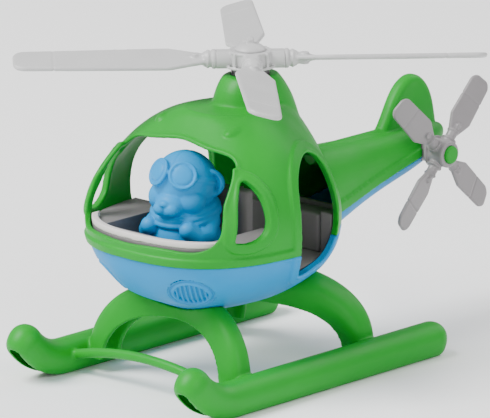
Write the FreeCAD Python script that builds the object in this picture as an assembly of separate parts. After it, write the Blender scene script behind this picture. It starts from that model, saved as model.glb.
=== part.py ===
"""Toy helicopter: hollow two-part fuselage on a skid frame, spinning main and tail rotors, removable pilot.

Frame: +Z up, the ground at z = 0, the nose towards -Y, the port side at +X, millimetres.
The origin lies on the ground below the middle of the whole toy.
"""
import FreeCAD, Part
import math
import os

V = FreeCAD.Vector
X_AXIS = V(1, 0, 0)
Y_AXIS = V(0, 1, 0)
Z_AXIS = V(0, 0, 1)

# ---- driving dimensions -------------------------------------------------------------------------
mast_y = -23.0              # main rotor axis

pod_width = 117.0
pod_nose_reach = 67.2       # widest section to the nose
pod_tail_reach = 80.0       # widest section to the rear of the pod
pod_height = 100.3
belly_z = 36.9              # underside of the pod above the ground
pod_wide_y = mast_y - 20.0  # where the pod is widest, along the toy
pod_wide_share = 0.48       # and at which share of its height
nose_exponent = 2.6         # roundness of the plan outline, front half
tail_exponent = 1.45        # the same, rear half
shell_wall = 2.6
band_height = 1.2           # raised rims round the openings
band_width = 5.0
sill_band = 4.2             # height of the proud band above the joint

parting_z = 70.5            # joint between the upper shell and the lower hull
parting_bend_y = mast_y + 50.0
parting_rise = 0.244        # slope of the joint along the boom

boom_end_y = mast_y + 140.0
boom_root_y = mast_y + 34.0
boom_top_z = 101.5
boom_root_half = 17.0
boom_tip_half = 8.5
boom_root_depth = 47.0
boom_tip_depth = 15.0
boom_exponent = 2.5
boom_ledge = 1.3            # step of the flange along the boom above the joint
fin_thickness = 8.0
fin_height = 25.5
fin_length = 43.0
fin_sink = 8.0              # how deep the fin is rooted in the boom
fin_tail_gap = 2.5          # from the fin's rear edge to the end of the boom

cowl_top_z = 148.6
cowl_form = (               # below the top: half-width, reach ahead of the mast, reach behind it
    (27.6, 19.5, 26.0, 29.5), (20.6, 17.6, 23.6, 27.0), (13.2, 15.2, 20.9, 24.6), (9.0, 14.2, 19.8, 22.1),
    (3.4, 12.6, 17.0, 17.8), (1.0, 11.6, 15.1, 15.6), (0.0, 10.9, 14.0, 14.5),
)

sill_z = 79.5
skid_track = 114.4          # centre to centre
skid_length = 155.7         # from the heel to the start of the toe's curl
skid_rear_y = mast_y + 79.7
skid_width = 17.4
skid_height = 17.2
skid_wall = 2.0
skid_rim_half = 4.4         # outer half-width of the rims that stand on the ground
toe_radius = 42.4
toe_angle = 50.3
arch_wall = 2.6
arch_foot_inset = 17.2      # inner face of the arches' feet, inboard of the skid's middle
arch_foot_z = 3.9
arch_trim_z = 6.6           # the feet are cut off level here, beside the skids
arch_crown_z = 33.3         # underside of both crowns
crown_hollow = 1.0          # depth of the hollow under the crowns
tie_radius = 2.5
tie_rise = 8.0

floor_z = 58.5
floor_thickness = 2.5
tub_rim_z = 80.0
tub_clearance = 0.6
pocket_half = 31.0          # half-width of the cockpit well
ledge_thickness = 3.0

rotor_radius = 117.5
rotor_z = 156.2             # middle of the blades
rotor_phase = 46.5          # rest angle of the first blade, from the nose towards port
blade_count = 4
blade_chord = 21.0
blade_tip_chord = 18.5
blade_thickness = 2.4
blade_pitch = 14.0
blade_root_radius = 3.9
cuff_length = 23.0
hub_radius = 10.5
hub_height = 8.6
cap_radius = 7.7
cap_height = 3.6
finial_height = 3.2
shaft_radius = 3.2
shaft_fit = 0.08            # radial running clearance of both rotor shafts
bush_fit = 0.03             # radial clearance of the bushes in the fuselage
sleeve_radius = 9.6
sleeve_seat = 8.0           # depth of the sleeve in the cowl
rotor_gap = 0.4             # air between turning and standing faces
clip_thickness = 2.0

tail_hub_y = mast_y + 121.0
tail_hub_z = 88.8
tail_rotor_x = 20.0         # plane of the tail blades
tail_rotor_radius = 45.5
tail_phase = 47.7
tail_chord = 14.5
tail_pitch = 12.0
tail_blade_thickness = 2.0
tail_hub_radius = 6.9
tail_hub_width = 12.0
tail_root_radius = 2.6
tail_cap_radius = 4.6
tail_cap_height = 1.6
tail_shaft_radius = 2.2
tail_boss_radius = 6.0

pilot_y = mast_y - 46.8
pilot_half = 16.5
pilot_top_z = 118.0
head_radius = 16.2
pilot_gap = 0.4             # air under the seated pilot

vent_x = 26.8               # a point on the axis of the port chin vent, near the hull's skin
vent_y = mast_y - 71.0
vent_z = 54.3
vent_sink = 1.9             # depth of its slots
vent_half_wide = 8.6
vent_half_high = 4.9
vent_slot = 1.3
vent_pitch = 2.4
vent_depth = 12.0
vent_droop = 43.0             # the vent faces this far downwards
vent_swing = 31.0             # and this far to the side
vent_ring_inner = 1.6
vent_ring_outer = 2.4

bulkhead_y = 34.0           # rear of the cabin tub behind the mast
well_front_y = -72.0        # front of the cockpit well
tub_wall = 2.4
ledge_half = 43.0
ledge_height = 3.0
seat_half = 22.0
seat_front_y = -28.0
seat_depth = 8.0
seat_top_z = 97.0
seat_edge = 3.0
bench_half = 30.0
bench_front_y = 18.5
bench_top_z = 78.0

front_foot_y = -58.8        # feet and crowns of the arches, behind the mast
front_crown_y = -47.9
front_sweep = 1.5           # how late the front arch turns towards its crown
front_round = (0.76, 0.83)  # roundness of its path, across and up
front_foot_size = (15.2, 12.0)
front_crown_size = (12.4, 17.0)
rear_foot_y = 32.1
rear_crown_y = 11.2
rear_sweep = 1.6
rear_round = (0.79, 0.63)
rear_foot_size = (15.0, 10.8)
rear_crown_size = (34.0, 16.6)
tie_setback = 1.5
tie_z = 9.0

sleeve_lip = 2.2
groove_radius = 1.2
collar_reach = 6.5
socket_wall = 1.3
finial_radius = 2.0
tail_bush_start = 3.0

seam_gap = 0.1              # hair gap where a curved piece seats on another
through = 400.0             # longer than anything it cuts

# ---- small tools --------------------------------------------------------------------------------
def wave(value, power):
    """Signed power, for superellipse outlines."""
    return math.copysign(abs(value) ** power, value)


def closed_curve(points):
    """A smooth closed wire through the points."""
    curve = Part.BSplineCurve()
    curve.interpolate(Points=points, PeriodicFlag=True)
    return Part.Wire([curve.toShape()])


def open_curve(points):
    """A smooth open edge through the points."""
    curve = Part.BSplineCurve()
    curve.interpolate(points)
    return curve.toShape()


def loft(wires):
    return Part.makeLoft(wires, True, False)


def box(x0, x1, y0, y1, z0, z1):
    """A box between two corners."""
    return Part.makeBox(x1 - x0, y1 - y0, z1 - z0, V(x0, y0, z0))


def rod(radius, start, end):
    """A cylinder from one point to another."""
    run = end - start
    return Part.makeCylinder(radius, run.Length, start, run)


def prism(wire, direction):
    """A closed flat wire pushed along a vector."""
    return Part.Face(wire).extrude(direction)


def mirrored(shape):
    """The same shape on the other side."""
    return shape.mirror(V(0, 0, 0), X_AXIS)


def turned(shape, centre, axis, degrees):
    """A turned copy."""
    copy = shape.copy()
    copy.rotate(centre, axis, degrees)
    return copy


def fuse(first, *others):
    return first.fuse(list(others)).removeSplitter()


# ---- fuselage surfaces --------------------------------------------------------------------------
def pod_station(angle):
    """Shares of height, nose reach, tail reach and half-width at an angle from the widest level."""
    level = abs(wave(math.sin(angle), 1.0))
    if angle < 0:
        height = pod_wide_share * (1 - level)
        half = (1 - level ** 2.1) ** (1 / 2.1)
        nose = (1 - level ** 2.6) ** (1 / 2.6)
        tail = (0.92 + 0.2 * level) * (1 - level ** 3.0) ** (1 / 3.0)
    else:
        height = pod_wide_share + (1 - pod_wide_share) * level
        half = (1 - level ** 2.2) ** (1 / 2.2)
        nose = 1 - 0.80 * level ** 1.3
        tail = 0.92 - 0.40 * level
    return height, nose, tail, half


def plan_wire(z, nose, tail, half):
    """Plan outline of the pod: a blunt front half and a tapering rear half."""
    count = 32
    points = []
    for i in range(count):
        angle = 2 * math.pi * i / count
        ahead = math.cos(angle)
        across = math.sin(angle)
        power = 2 / (nose_exponent if ahead > 0 else tail_exponent)
        reach = nose if ahead > 0 else tail
        points.append(V(half * wave(across, power), pod_wide_y - reach * wave(ahead, power), z))
    return closed_curve(points)


def pod_body(grow=0.0):
    """The pod as a solid; a negative growth gives its inside."""
    wires = []
    for degrees in (-79, -66, -52, -36, -18, 0, 17, 32, 46, 60, 74):
        height, nose, tail, half = pod_station(math.radians(degrees))
        z = belly_z - grow + height * (pod_height + 2 * grow)
        wires.append(plan_wire(z, nose * pod_nose_reach + grow, tail * pod_tail_reach + grow,
                               half * pod_width / 2 + grow))
    return loft(wires)


def boom_wire(y, half, top, depth):
    """Upright section of the boom at one station."""
    count = 20
    power = 2 / boom_exponent
    middle = top - depth / 2
    points = []
    for i in range(count):
        angle = 2 * math.pi * i / count
        points.append(V(half * wave(math.cos(angle), power), y,
                        middle + depth / 2 * wave(math.sin(angle), power)))
    return closed_curve(points)


def boom_body(grow=0.0):
    """The tapering boom; its underside rises towards the tail."""
    wires = []
    for share in (0.0, 0.3, 0.6, 0.88, 1.0):
        round_end = 0.55 if share == 1.0 else 1.0
        y = boom_root_y + share * (boom_end_y + grow - boom_root_y)
        half = boom_root_half + share * (boom_tip_half - boom_root_half)
        depth = boom_root_depth + share * (boom_tip_depth - boom_root_depth)
        drop = (1 - round_end) * depth / 2
        wires.append(boom_wire(y, half * round_end + grow, boom_top_z + grow - drop,
                               depth * round_end + 2 * grow))
    return loft(wires)


def cowl_body():
    """The engine cowl: a raised hood that flares into the roof."""
    wires = []
    for below, across, ahead, behind in cowl_form:
        points = []
        for i in range(24):
            angle = 2 * math.pi * i / 24
            reach = ahead if math.cos(angle) > 0 else behind
            points.append(V(across * wave(math.sin(angle), 0.85),
                            mast_y - reach * wave(math.cos(angle), 0.85), cowl_top_z - below))
        wires.append(closed_curve(points))
    return loft(wires)


def fin_body():
    """The tail fin: a rounded blade standing on the boom."""
    front = boom_end_y - fin_length - 4.0
    top = boom_top_z + fin_height
    crest = open_curve([
        V(0, front, boom_top_z - 1.5),
        V(0, front + 0.15 * fin_length, boom_top_z + 0.30 * fin_height),
        V(0, front + 0.42 * fin_length, boom_top_z + 0.90 * fin_height),
        V(0, front + 0.62 * fin_length, top),
        V(0, front + 0.84 * fin_length, boom_top_z + 0.76 * fin_height),
        V(0, front + 0.98 * fin_length, boom_top_z + 0.15 * fin_height),
        V(0, boom_end_y - fin_tail_gap, boom_top_z - fin_sink),
    ])
    ends = [vertex.Point for vertex in crest.Vertexes]
    foot = Part.makePolygon([ends[-1], V(0, ends[-1].y - fin_sink, boom_top_z - 1.5 * fin_sink),
                             V(0, front + 1.5 * fin_sink, boom_top_z - 1.2 * fin_sink), ends[0]])
    wire = Part.Wire([crest] + foot.Edges)
    fin = prism(wire, V(fin_thickness, 0, 0))
    fin.translate(V(-fin_thickness / 2, 0, 0))
    long_edges = [edge for edge in fin.Edges if edge.Length > 1.5 * fin_length]
    return fin.makeFillet(fin_thickness * 0.4, long_edges)


# ---- openings -----------------------------------------------------------------------------------
def outline(points, place):
    """A smooth closed outline from hand-set points; place turns two numbers into a point."""
    return closed_curve([place(a, b) for a, b in points])


def side_place(y, z):
    """A point on the port side, outside the pod, from a distance behind the mast and a height."""
    return V(pod_width, mast_y + y, z)


def front_place(x, z):
    return V(x, mast_y - pod_width, z)


def door_outline():
    low = floor_z + 1.0
    return outline([
        (-21, low), (-24.8, low + 11), (-26.8, low + 25), (-27, low + 38), (-23.6, low + 50.5),
        (-12, low + 58.3), (0, low + 55.5), (10.5, low + 46), (15.5, low + 33), (16.3, low + 20),
        (13.5, low + 8), (6, low + 1), (-6, low - 0.8),
    ], side_place)


def quarter_outline():
    return outline([
        (-65, sill_z + 5), (-61.5, sill_z + 17), (-56.5, sill_z + 27.5), (-52, sill_z + 32),
        (-48.5, sill_z + 27.5), (-46.5, sill_z + 17), (-48.5, sill_z + 7), (-54, sill_z + 3.6),
        (-61, sill_z + 3),
    ], side_place)


def windscreen_outline():
    half = 45.0
    crown = 124.4 - sill_z
    return outline([
        (-half * 0.5, sill_z - 0.4), (0, sill_z - 1.0), (half * 0.5, sill_z - 0.4),
        (half * 0.92, sill_z + 1.4), (half, sill_z + 6.0), (half * 0.975, sill_z + 0.36 * crown),
        (half * 0.90, sill_z + 0.68 * crown), (half * 0.79, sill_z + 0.86 * crown),
        (half * 0.45, sill_z + 0.95 * crown), (0, sill_z + crown),
        (-half * 0.45, sill_z + 0.95 * crown), (-half * 0.79, sill_z + 0.86 * crown),
        (-half * 0.90, sill_z + 0.68 * crown), (-half * 0.975, sill_z + 0.36 * crown),
        (-half, sill_z + 6.0), (-half * 0.92, sill_z + 1.4),
    ], front_place)


def opening_cuts():
    """Prisms through the door and quarter windows on both sides and through the windscreen."""
    deep = pod_width * 0.85
    doors = prism(door_outline(), V(-deep, 0, 0))
    quarters = prism(quarter_outline(), V(-deep, 0, 0))
    screen = prism(windscreen_outline(), V(0, pod_width - 42.0, 0))
    return [doors, mirrored(doors), quarters, mirrored(quarters), screen]


def grown(wire, width):
    """The outline moved outwards by a width, seen from outside on the port side."""
    edge = wire.Edges[0]
    span = edge.LastParameter - edge.FirstParameter
    count = 28
    points = []
    for i in range(count):
        at = edge.FirstParameter + span * i / count
        aside = edge.tangentAt(at).cross(X_AXIS)
        points.append((edge.valueAt(at), aside))
    middle = edge.BoundBox.Center
    first, aside = points[0]
    sign = 1 if (first - middle).dot(aside) > 0 else -1
    return closed_curve([point + aside * (sign * width) for point, aside in points])


def raised_bands(skin):
    """Rims standing proud of the skin round the doors, the quarter windows and the pod's sill."""
    deep = V(-pod_width * 0.85, 0, 0)
    door = skin.common(prism(grown(door_outline(), band_width), deep))
    quarter = skin.common(prism(grown(quarter_outline(), band_width), deep))
    sill = skin.common(box(-pod_width, pod_width, pod_wide_y - pod_width, mast_y - 22.0,
                           parting_z, parting_z + sill_band))
    return [door, mirrored(door), quarter, mirrored(quarter), sill]


# ---- fuselage pieces ----------------------------------------------------------------------------
def below_parting():
    """Everything under the joint between shell and hull."""
    far = boom_end_y + 60.0
    low = V(0, -through, -through)
    wire = Part.makePolygon([
        V(0, -through, parting_z), V(0, parting_bend_y, parting_z),
        V(0, far, parting_z + parting_rise * (far - parting_bend_y)),
        V(0, far, -through), low, V(0, -through, parting_z),
    ])
    block = prism(wire, V(2 * through, 0, 0))
    block.translate(V(-through, 0, 0))
    return block


def boom_flange():
    """The wider strip of the boom between its ledge and the joint."""
    y0 = boom_root_y + 10.0
    y1 = boom_end_y - 18.0
    wire = Part.makePolygon([
        V(0, y0, parting_z - 1), V(0, y0, parting_z + 5),
        V(0, y1, parting_z + parting_rise * (y1 - parting_bend_y) + 4.5),
        V(0, y1, parting_z + parting_rise * (y1 - parting_bend_y) - 1), V(0, y0, parting_z - 1),
    ])
    strip = prism(wire, V(pod_width, 0, 0))
    strip.translate(V(-pod_width / 2, 0, 0))
    return boom_body(boom_ledge).common(strip)


def roof_bump():
    """One of the two low streamlined bumps on the roof ahead of the cowl."""
    bump = Part.makeSphere(6.0)
    stretch = FreeCAD.Matrix()
    stretch.scale(V(0.8, 1.6, 0.62))
    bump = bump.transformGeometry(stretch)
    bump.translate(V(23.0, mast_y - 33.0, 128.2))
    return bump


def fuselage_outside():
    """The whole outer form with its raised rims."""
    body = pod_body().fuse([boom_body(), cowl_body(), fin_body(), boom_flange()])
    skin = pod_body(band_height)
    bump = roof_bump()
    return body.fuse(raised_bands(skin) + [bump, mirrored(bump)])


def fuselage_inside():
    """The hollow: pod and boom; the cowl stays solid round the mast."""
    boom = boom_body(-shell_wall).common(
        box(-through, through, -through, boom_end_y - 14.0, 0, through))
    return pod_body(-shell_wall).fuse(boom)


def vent_cutter():
    """Slots and a ring groove of the port chin vent, cut along the vent's own axis."""
    out = V(0, 0, vent_depth)
    ring = prism(vent_outline(vent_ring_outer), out).cut(prism(vent_outline(vent_ring_inner), out))
    oval = prism(vent_outline(0.0), out)
    pieces = [ring]
    for i in range(-3, 4):
        middle = i * vent_pitch
        slot = box(middle - vent_slot / 2, middle + vent_slot / 2, -vent_half_high, vent_half_high,
                   0, vent_depth)
        pieces.append(slot.common(oval))
    cutter = vent_turned(Part.Compound(pieces))
    axis = vent_turned(Part.Vertex(V(0, 0, 1))).Point
    start = V(vent_x, vent_y, vent_z) - axis * pod_width / 4
    probe = Part.makeLine(start, start + axis * pod_width / 2).common(pod_body())
    skin = max((vertex.Point for vertex in probe.Vertexes), key=lambda point: point.dot(axis))
    cutter.translate(skin - axis * vent_sink)
    return cutter


def vent_turned(shape):
    """Points a shape drawn along +Z along the vent's axis."""
    faced = turned(shape, V(0, 0, 0), X_AXIS, 90 + vent_droop)
    return turned(faced, V(0, 0, 0), Z_AXIS, vent_swing)


def vent_outline(grow):
    """The oval of a chin vent."""
    return Part.Wire([Part.Ellipse(V(0, 0, 0), vent_half_wide + grow, vent_half_high + grow).toShape()])


def mast_bore():
    """Seat of the mast sleeve in the cowl, and the well below it for the shaft and its clip."""
    seat = rod(sleeve_radius + bush_fit, V(0, mast_y, cowl_top_z - sleeve_seat),
               V(0, mast_y, cowl_top_z + 20))
    well = rod(sleeve_radius - sleeve_lip, V(0, mast_y, cowl_top_z - cowl_top_z / 4),
               V(0, mast_y, cowl_top_z))
    return [seat, well]


def make_fuselage():
    """The lower hull and the upper shell, cut apart along the joint."""
    outside = fuselage_outside()
    cuts = [fuselage_inside()] + opening_cuts()
    low = below_parting()
    vents = vent_cutter()
    hull = outside.common(low).cut(cuts + [tail_shaft_bore(), vents, mirrored(vents)])
    shell = outside.cut([low] + cuts + mast_bore() + [tail_shaft_bore()])
    return hull, shell


def tail_boss():
    """The bearing of the tail shaft: a flanged bush set into the port side of the boom."""
    end = tail_rotor_x - tail_hub_width / 2 - rotor_gap
    bush = rod(tail_boss_radius, V(tail_bush_start, tail_hub_y, tail_hub_z), V(end, tail_hub_y, tail_hub_z))
    bore = rod(tail_shaft_radius + shaft_fit, V(-pod_width, tail_hub_y, tail_hub_z),
               V(pod_width, tail_hub_y, tail_hub_z))
    return bush.cut(bore)


def tail_shaft_bore():
    """The hole in the boom that the bush is pressed into."""
    return rod(tail_boss_radius + bush_fit, V(tail_bush_start, tail_hub_y, tail_hub_z),
               V(pod_width, tail_hub_y, tail_hub_z))


# ---- cabin --------------------------------------------------------------------------------------
def cabin_tub():
    """The grey cabin moulding: floor, side consoles and front shelf, open at both doors."""
    shape = pod_body(-shell_wall - tub_clearance)
    slab = box(-pod_width, pod_width, -through, mast_y + bulkhead_y, floor_z - floor_thickness, tub_rim_z)
    tub = shape.common(slab)
    well = box(-pocket_half, pocket_half, mast_y + well_front_y, mast_y + bulkhead_y - tub_wall, floor_z,
               through)
    doorway = box(-pod_width, pod_width, mast_y - 24.5, mast_y + 17.5, floor_z, through)
    return tub.cut([well, doorway])


def windscreen_ledge():
    """The pale strip along the windscreen's sill, standing on the tub's front shelf."""
    strip = pod_body(-shell_wall - tub_clearance).common(
        box(-ledge_half, ledge_half, -through, mast_y - 58.0, tub_rim_z, tub_rim_z + ledge_height))
    inner = pod_body(-shell_wall - tub_clearance - ledge_thickness)
    return strip.cut(inner)


def seat_back(half, front, back, top):
    """An upright cushion with rounded edges, standing on the cabin floor."""
    seat = box(-half, half, mast_y + front, mast_y + back, floor_z, top)
    uprights = [edge for edge in seat.Edges if abs(edge.tangentAt(edge.FirstParameter).z) > 0.9]
    seat = seat.makeFillet(seat_edge, uprights)
    rims = [edge for edge in seat.Edges if edge.BoundBox.ZMin > top - 0.1]
    return seat.makeFillet(seat_edge * 0.5, rims)


def pilot_seat():
    return seat_back(seat_half, seat_front_y, seat_front_y + seat_depth, seat_top_z)


def rear_bench():
    bench = seat_back(bench_half, bench_front_y, bulkhead_y - tub_wall - seam_gap, bench_top_z)
    return bench.common(pod_body(-shell_wall - tub_clearance))


# ---- landing gear -------------------------------------------------------------------------------
def skid_side(half, rim, middle, high, low):
    """Half of a skid's cross-section, from its rim on the ground up to the middle of its crown."""
    points = [V(rim, 0, low)] if low < 0 else []
    for i in range(4):
        fall = 1 - i / 4
        bulge = (1 - fall ** 1.8) ** (1 / 1.8)
        points.append(V(rim + (half - rim) * bulge, 0, middle * (1 - fall)))
    for i in range(7):
        angle = math.pi / 2 * i / 6
        points.append(V(half * wave(math.cos(angle), 0.95), 0,
                        middle + (high - middle) * wave(math.sin(angle), 0.95)))
    points[-1] = V(0, 0, high)
    return open_curve(points)


def skid_form(inset):
    """A skid on its centre line: round section, toe curled up, both ends rounded."""
    half = skid_width / 2 - inset
    rim = skid_rim_half - inset * 0.8
    low = -skid_wall if inset > 0 else 0.0
    high = skid_height - inset
    rear = V(0, skid_rear_y - skid_width / 2, 0)
    front = V(0, skid_rear_y - skid_length, 0)
    bend = math.radians(toe_angle)
    centre = front + Z_AXIS * toe_radius
    tip = centre + V(0, -math.sin(bend), -math.cos(bend)) * toe_radius
    middle = centre + V(0, -math.sin(bend / 2), -math.cos(bend / 2)) * toe_radius
    path = Part.Wire([Part.makeLine(rear, front), Part.Arc(front, middle, tip).toShape()])
    side = skid_side(half, rim, skid_height / 2, high, low)
    other = side.mirror(V(0, 0, 0), X_AXIS)
    base = Part.makeLine(V(-rim, 0, low), V(rim, 0, low))
    section = Part.Wire(Part.sortEdges([side, other, base])[0])
    section.translate(rear)
    run = path.makePipeShell([section], True, False)
    spine = [V(0, 0, high), V(0, 0, low), V(rim, 0, low)]
    face = Part.Face(Part.Wire([side] + Part.makePolygon(spine).Edges))
    heel = face.revolve(V(0, 0, 0), Z_AXIS, 180)
    heel.translate(rear)
    toe = turned(face.revolve(V(0, 0, 0), Z_AXIS, -180), V(0, 0, 0), X_AXIS, -toe_angle)
    toe.translate(tip)
    return run.fuse([heel, toe])


def skid_outside(side):
    """The full form of a skid in its place, not yet hollowed."""
    form = skid_form(0.0)
    form.translate(V(side * skid_track / 2, 0, 0))
    return form


def skid(side):
    """A channel open below, its toe curled up."""
    hollow = skid_form(skid_wall)
    hollow.translate(V(side * skid_track / 2, 0, 0))
    return skid_outside(side).cut(hollow)


def arch_form(feet, sweep, roundness, foot_size, crown_size, inset):
    """One side's half of an arch: a band from its foot beside the skid up to its crown under the belly."""
    foot_x = skid_track / 2 - arch_foot_inset
    foot_y, crown_y = feet
    sections = []
    for i in range(10):
        share = i / 9.0
        angle = math.radians(90.0 * share)
        x = foot_x * wave(math.cos(angle), roundness[0])
        z = arch_foot_z + (arch_crown_z - arch_foot_z) * wave(math.sin(angle), roundness[1])
        y = foot_y + (crown_y - foot_y) * share ** sweep
        width = foot_size[0] + (crown_size[0] - foot_size[0]) * share
        depth = foot_size[1] + (crown_size[1] - foot_size[1]) * share
        out = V(math.cos(angle), 0, math.sin(angle))
        sections.append(arch_section(V(x, mast_y + y, z), out, width, depth, inset))
    return loft(sections)


def arch_section(base, out, width, depth, inset):
    """A half-round section: flat on the inner side, domed on the outer."""
    points = []
    low = -3.0 if inset > 0 else 0.0
    for i in range(11):
        angle = math.pi * i / 10
        across = (width / 2 - inset) * wave(math.cos(angle), 0.7)
        lift = low + (depth - inset - low) * wave(math.sin(angle), 0.7)
        points.append(base + Y_AXIS * across + out * lift)
    dome = open_curve(points)
    flat = Part.makeLine(points[-1], points[0])
    return Part.Wire([dome, flat])


def arch(feet, sweep, roundness, foot_size, crown_size):
    """A whole arch, hollow on its inner side, seated on both skids and under the belly."""
    hollow_size = (crown_size[0], arch_wall + crown_hollow)
    outer = arch_form(feet, sweep, roundness, foot_size, crown_size, 0.0)
    inner = arch_form(feet, sweep, roundness, foot_size, hollow_size, arch_wall)
    floor = Part.makeBox(skid_track, 2 * skid_length, arch_trim_z, V(0, -skid_length, 0))
    half = outer.cut([inner, skid_outside(1), pod_body(seam_gap), floor])
    solid = max(half.Solids, key=lambda piece: piece.Volume)
    return fuse(solid, mirrored(solid))


def front_arch():
    return arch((front_foot_y, front_crown_y), front_sweep, front_round, front_foot_size, front_crown_size)


def rear_arch():
    return arch((rear_foot_y, rear_crown_y), rear_sweep, rear_round, rear_foot_size, rear_crown_size)


def tie_bar():
    """The bowed round bar that joins the two skids at their toes."""
    reach = skid_track / 2 - skid_width / 4
    y = skid_rear_y - skid_length + tie_setback
    path = Part.Wire([Part.Arc(V(-reach, y, tie_z), V(0, y, tie_z + tie_rise), V(reach, y, tie_z)).toShape()])
    start = path.Edges[0].tangentAt(path.Edges[0].FirstParameter)
    ring = Part.Wire([Part.makeCircle(tie_radius, V(-reach, y, tie_z), start)])
    bar = path.makePipeShell([ring], True, False).cut([skid_outside(1), skid_outside(-1)])
    return max(bar.Solids, key=lambda piece: piece.Volume)


# ---- main rotor ---------------------------------------------------------------------------------
def hub_low():
    return rotor_z - hub_height / 2


def mast_sleeve():
    """The dark ribbed sleeve pressed into the cowl, bored for the shaft."""
    low = cowl_top_z - sleeve_seat
    high = hub_low() - rotor_gap
    sleeve = rod(sleeve_radius, V(0, mast_y, low), V(0, mast_y, high))
    bore = rod(shaft_radius + shaft_fit, V(0, mast_y, low - 1), V(0, mast_y, high + 1))
    grooves = []
    for i in range(8):
        groove = rod(groove_radius, V(0, mast_y - sleeve_radius, cowl_top_z + 0.5),
                     V(0, mast_y - sleeve_radius, high + 1))
        grooves.append(turned(groove, V(0, mast_y, 0), Z_AXIS, 45.0 * i + 22.5))
    return sleeve.cut([bore] + grooves)


def shaft_low():
    return cowl_top_z - sleeve_seat - rotor_gap - clip_thickness - 1.5


def mast():
    """The rotor shaft, from the clip below the sleeve up into the hub."""
    return rod(shaft_radius, V(0, mast_y, shaft_low()), V(0, mast_y, rotor_z))


def mast_clip():
    """The ring that keeps the shaft from lifting out."""
    high = cowl_top_z - sleeve_seat - rotor_gap
    ring = rod(shaft_radius + 2.2, V(0, mast_y, high - clip_thickness), V(0, mast_y, high))
    return ring.cut(mast())


def blade_place(shape, number):
    """Turns a blade drawn along -Y to its place on the hub."""
    angle = rotor_phase + number * 360.0 / blade_count
    return turned(shape, V(0, mast_y, 0), Z_AXIS, angle)


def blade_root(grow):
    """The round root of a blade, plugged into the hub."""
    return rod(blade_root_radius + grow, V(0, mast_y - shaft_radius - 1.0, rotor_z),
               V(0, mast_y - cuff_length, rotor_z))


def blade_paddle():
    """The flat paddle with rounded corners, pitched about its own axis."""
    start = mast_y - cuff_length + 3.0
    tip = mast_y - rotor_radius
    full = start - 20.0
    half = blade_chord / 2
    end = blade_tip_chord / 2
    wire = Part.makePolygon([
        V(-3.2, start, 0), V(3.2, start, 0), V(half, full, 0), V(end, tip, 0), V(-end, tip, 0),
        V(-half, full, 0), V(-3.2, start, 0),
    ])
    paddle = prism(wire, V(0, 0, blade_thickness))
    paddle.translate(V(0, 0, -blade_thickness / 2))
    corners = []
    for edge in paddle.Edges:
        if edge.BoundBox.ZLength > blade_thickness * 0.9:
            corners.append(edge)
    outer = [edge for edge in corners if edge.Vertexes[0].Point.y < tip + 1]
    inner = [edge for edge in corners if abs(edge.Vertexes[0].Point.y - full) < 1]
    paddle = paddle.makeFillet(6.0, outer + inner)
    rims = [edge for edge in paddle.Edges if edge.BoundBox.ZLength < 0.01]
    paddle = paddle.makeChamfer(blade_thickness * 0.25, rims)
    paddle.rotate(V(0, mast_y, 0), Y_AXIS, blade_pitch)
    paddle.translate(V(0, 0, rotor_z))
    return paddle


def rotor_blade(number):
    """One blade: paddle, round root and a collar ring."""
    collar_y = mast_y - hub_radius - collar_reach
    collar = rod(blade_root_radius + 1.1, V(0, collar_y, rotor_z), V(0, collar_y - 2.0, rotor_z))
    return blade_place(fuse(blade_paddle(), blade_root(0.0), collar), number)


def rotor_hub():
    """The hub: a thick disc with four short sockets for the blade roots."""
    hub = rod(hub_radius, V(0, mast_y, hub_low()), V(0, mast_y, rotor_z + hub_height / 2))
    rims = [edge for edge in hub.Edges if edge.Closed]
    hub = hub.makeFillet(1.2, rims)
    sockets = []
    bores = []
    for number in range(blade_count):
        socket = rod(blade_root_radius + socket_wall, V(0, mast_y - 2, rotor_z),
                     V(0, mast_y - hub_radius - collar_reach, rotor_z))
        sockets.append(blade_place(socket, number))
        bores.append(blade_place(blade_root(0.0), number))
    slab = box(-through, through, -through, through, hub_low(), rotor_z + hub_height / 2)
    body = hub.fuse(sockets).common(slab)
    return body.cut(bores + [mast()])


def rotor_cap():
    """The domed cap with a small finial on top of the hub."""
    base = rotor_z + hub_height / 2
    wire = Part.Wire([
        Part.makeLine(V(0, mast_y, base), V(cap_radius, mast_y, base)),
        Part.makeLine(V(cap_radius, mast_y, base), V(cap_radius, mast_y, base + 0.8)),
        Part.Arc(V(cap_radius, mast_y, base + 0.8),
                 V(cap_radius * 0.72, mast_y, base + cap_height * 0.72),
                 V(finial_radius, mast_y, base + cap_height)).toShape(),
        Part.makeLine(V(finial_radius, mast_y, base + cap_height),
                      V(finial_radius, mast_y, base + cap_height + finial_height * 0.6)),
        Part.makeLine(V(finial_radius, mast_y, base + cap_height + finial_height * 0.6),
                      V(finial_radius * 0.4, mast_y, base + cap_height + finial_height)),
        Part.makeLine(V(finial_radius * 0.4, mast_y, base + cap_height + finial_height),
                      V(0, mast_y, base + cap_height + finial_height)),
        Part.makeLine(V(0, mast_y, base + cap_height + finial_height), V(0, mast_y, base)),
    ])
    return Part.Face(wire).revolve(V(0, mast_y, 0), Z_AXIS, 360)


# ---- tail rotor ---------------------------------------------------------------------------------
def tail_point(x):
    return V(x, tail_hub_y, tail_hub_z)


def tail_place(shape, number):
    """Turns a tail blade drawn along +Y to its place on the hub."""
    angle = tail_phase + number * 360.0 / blade_count
    return turned(shape, tail_point(0), X_AXIS, angle)


def tail_axle():
    return rod(tail_shaft_radius, tail_point(tail_bush_start + 0.5), tail_point(tail_rotor_x + 1.0))


def tail_root():
    start = tail_point(tail_rotor_x) + Y_AXIS * (tail_shaft_radius + 0.8)
    return rod(tail_root_radius, start, tail_point(tail_rotor_x) + Y_AXIS * (tail_hub_radius + 7.0))


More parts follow.
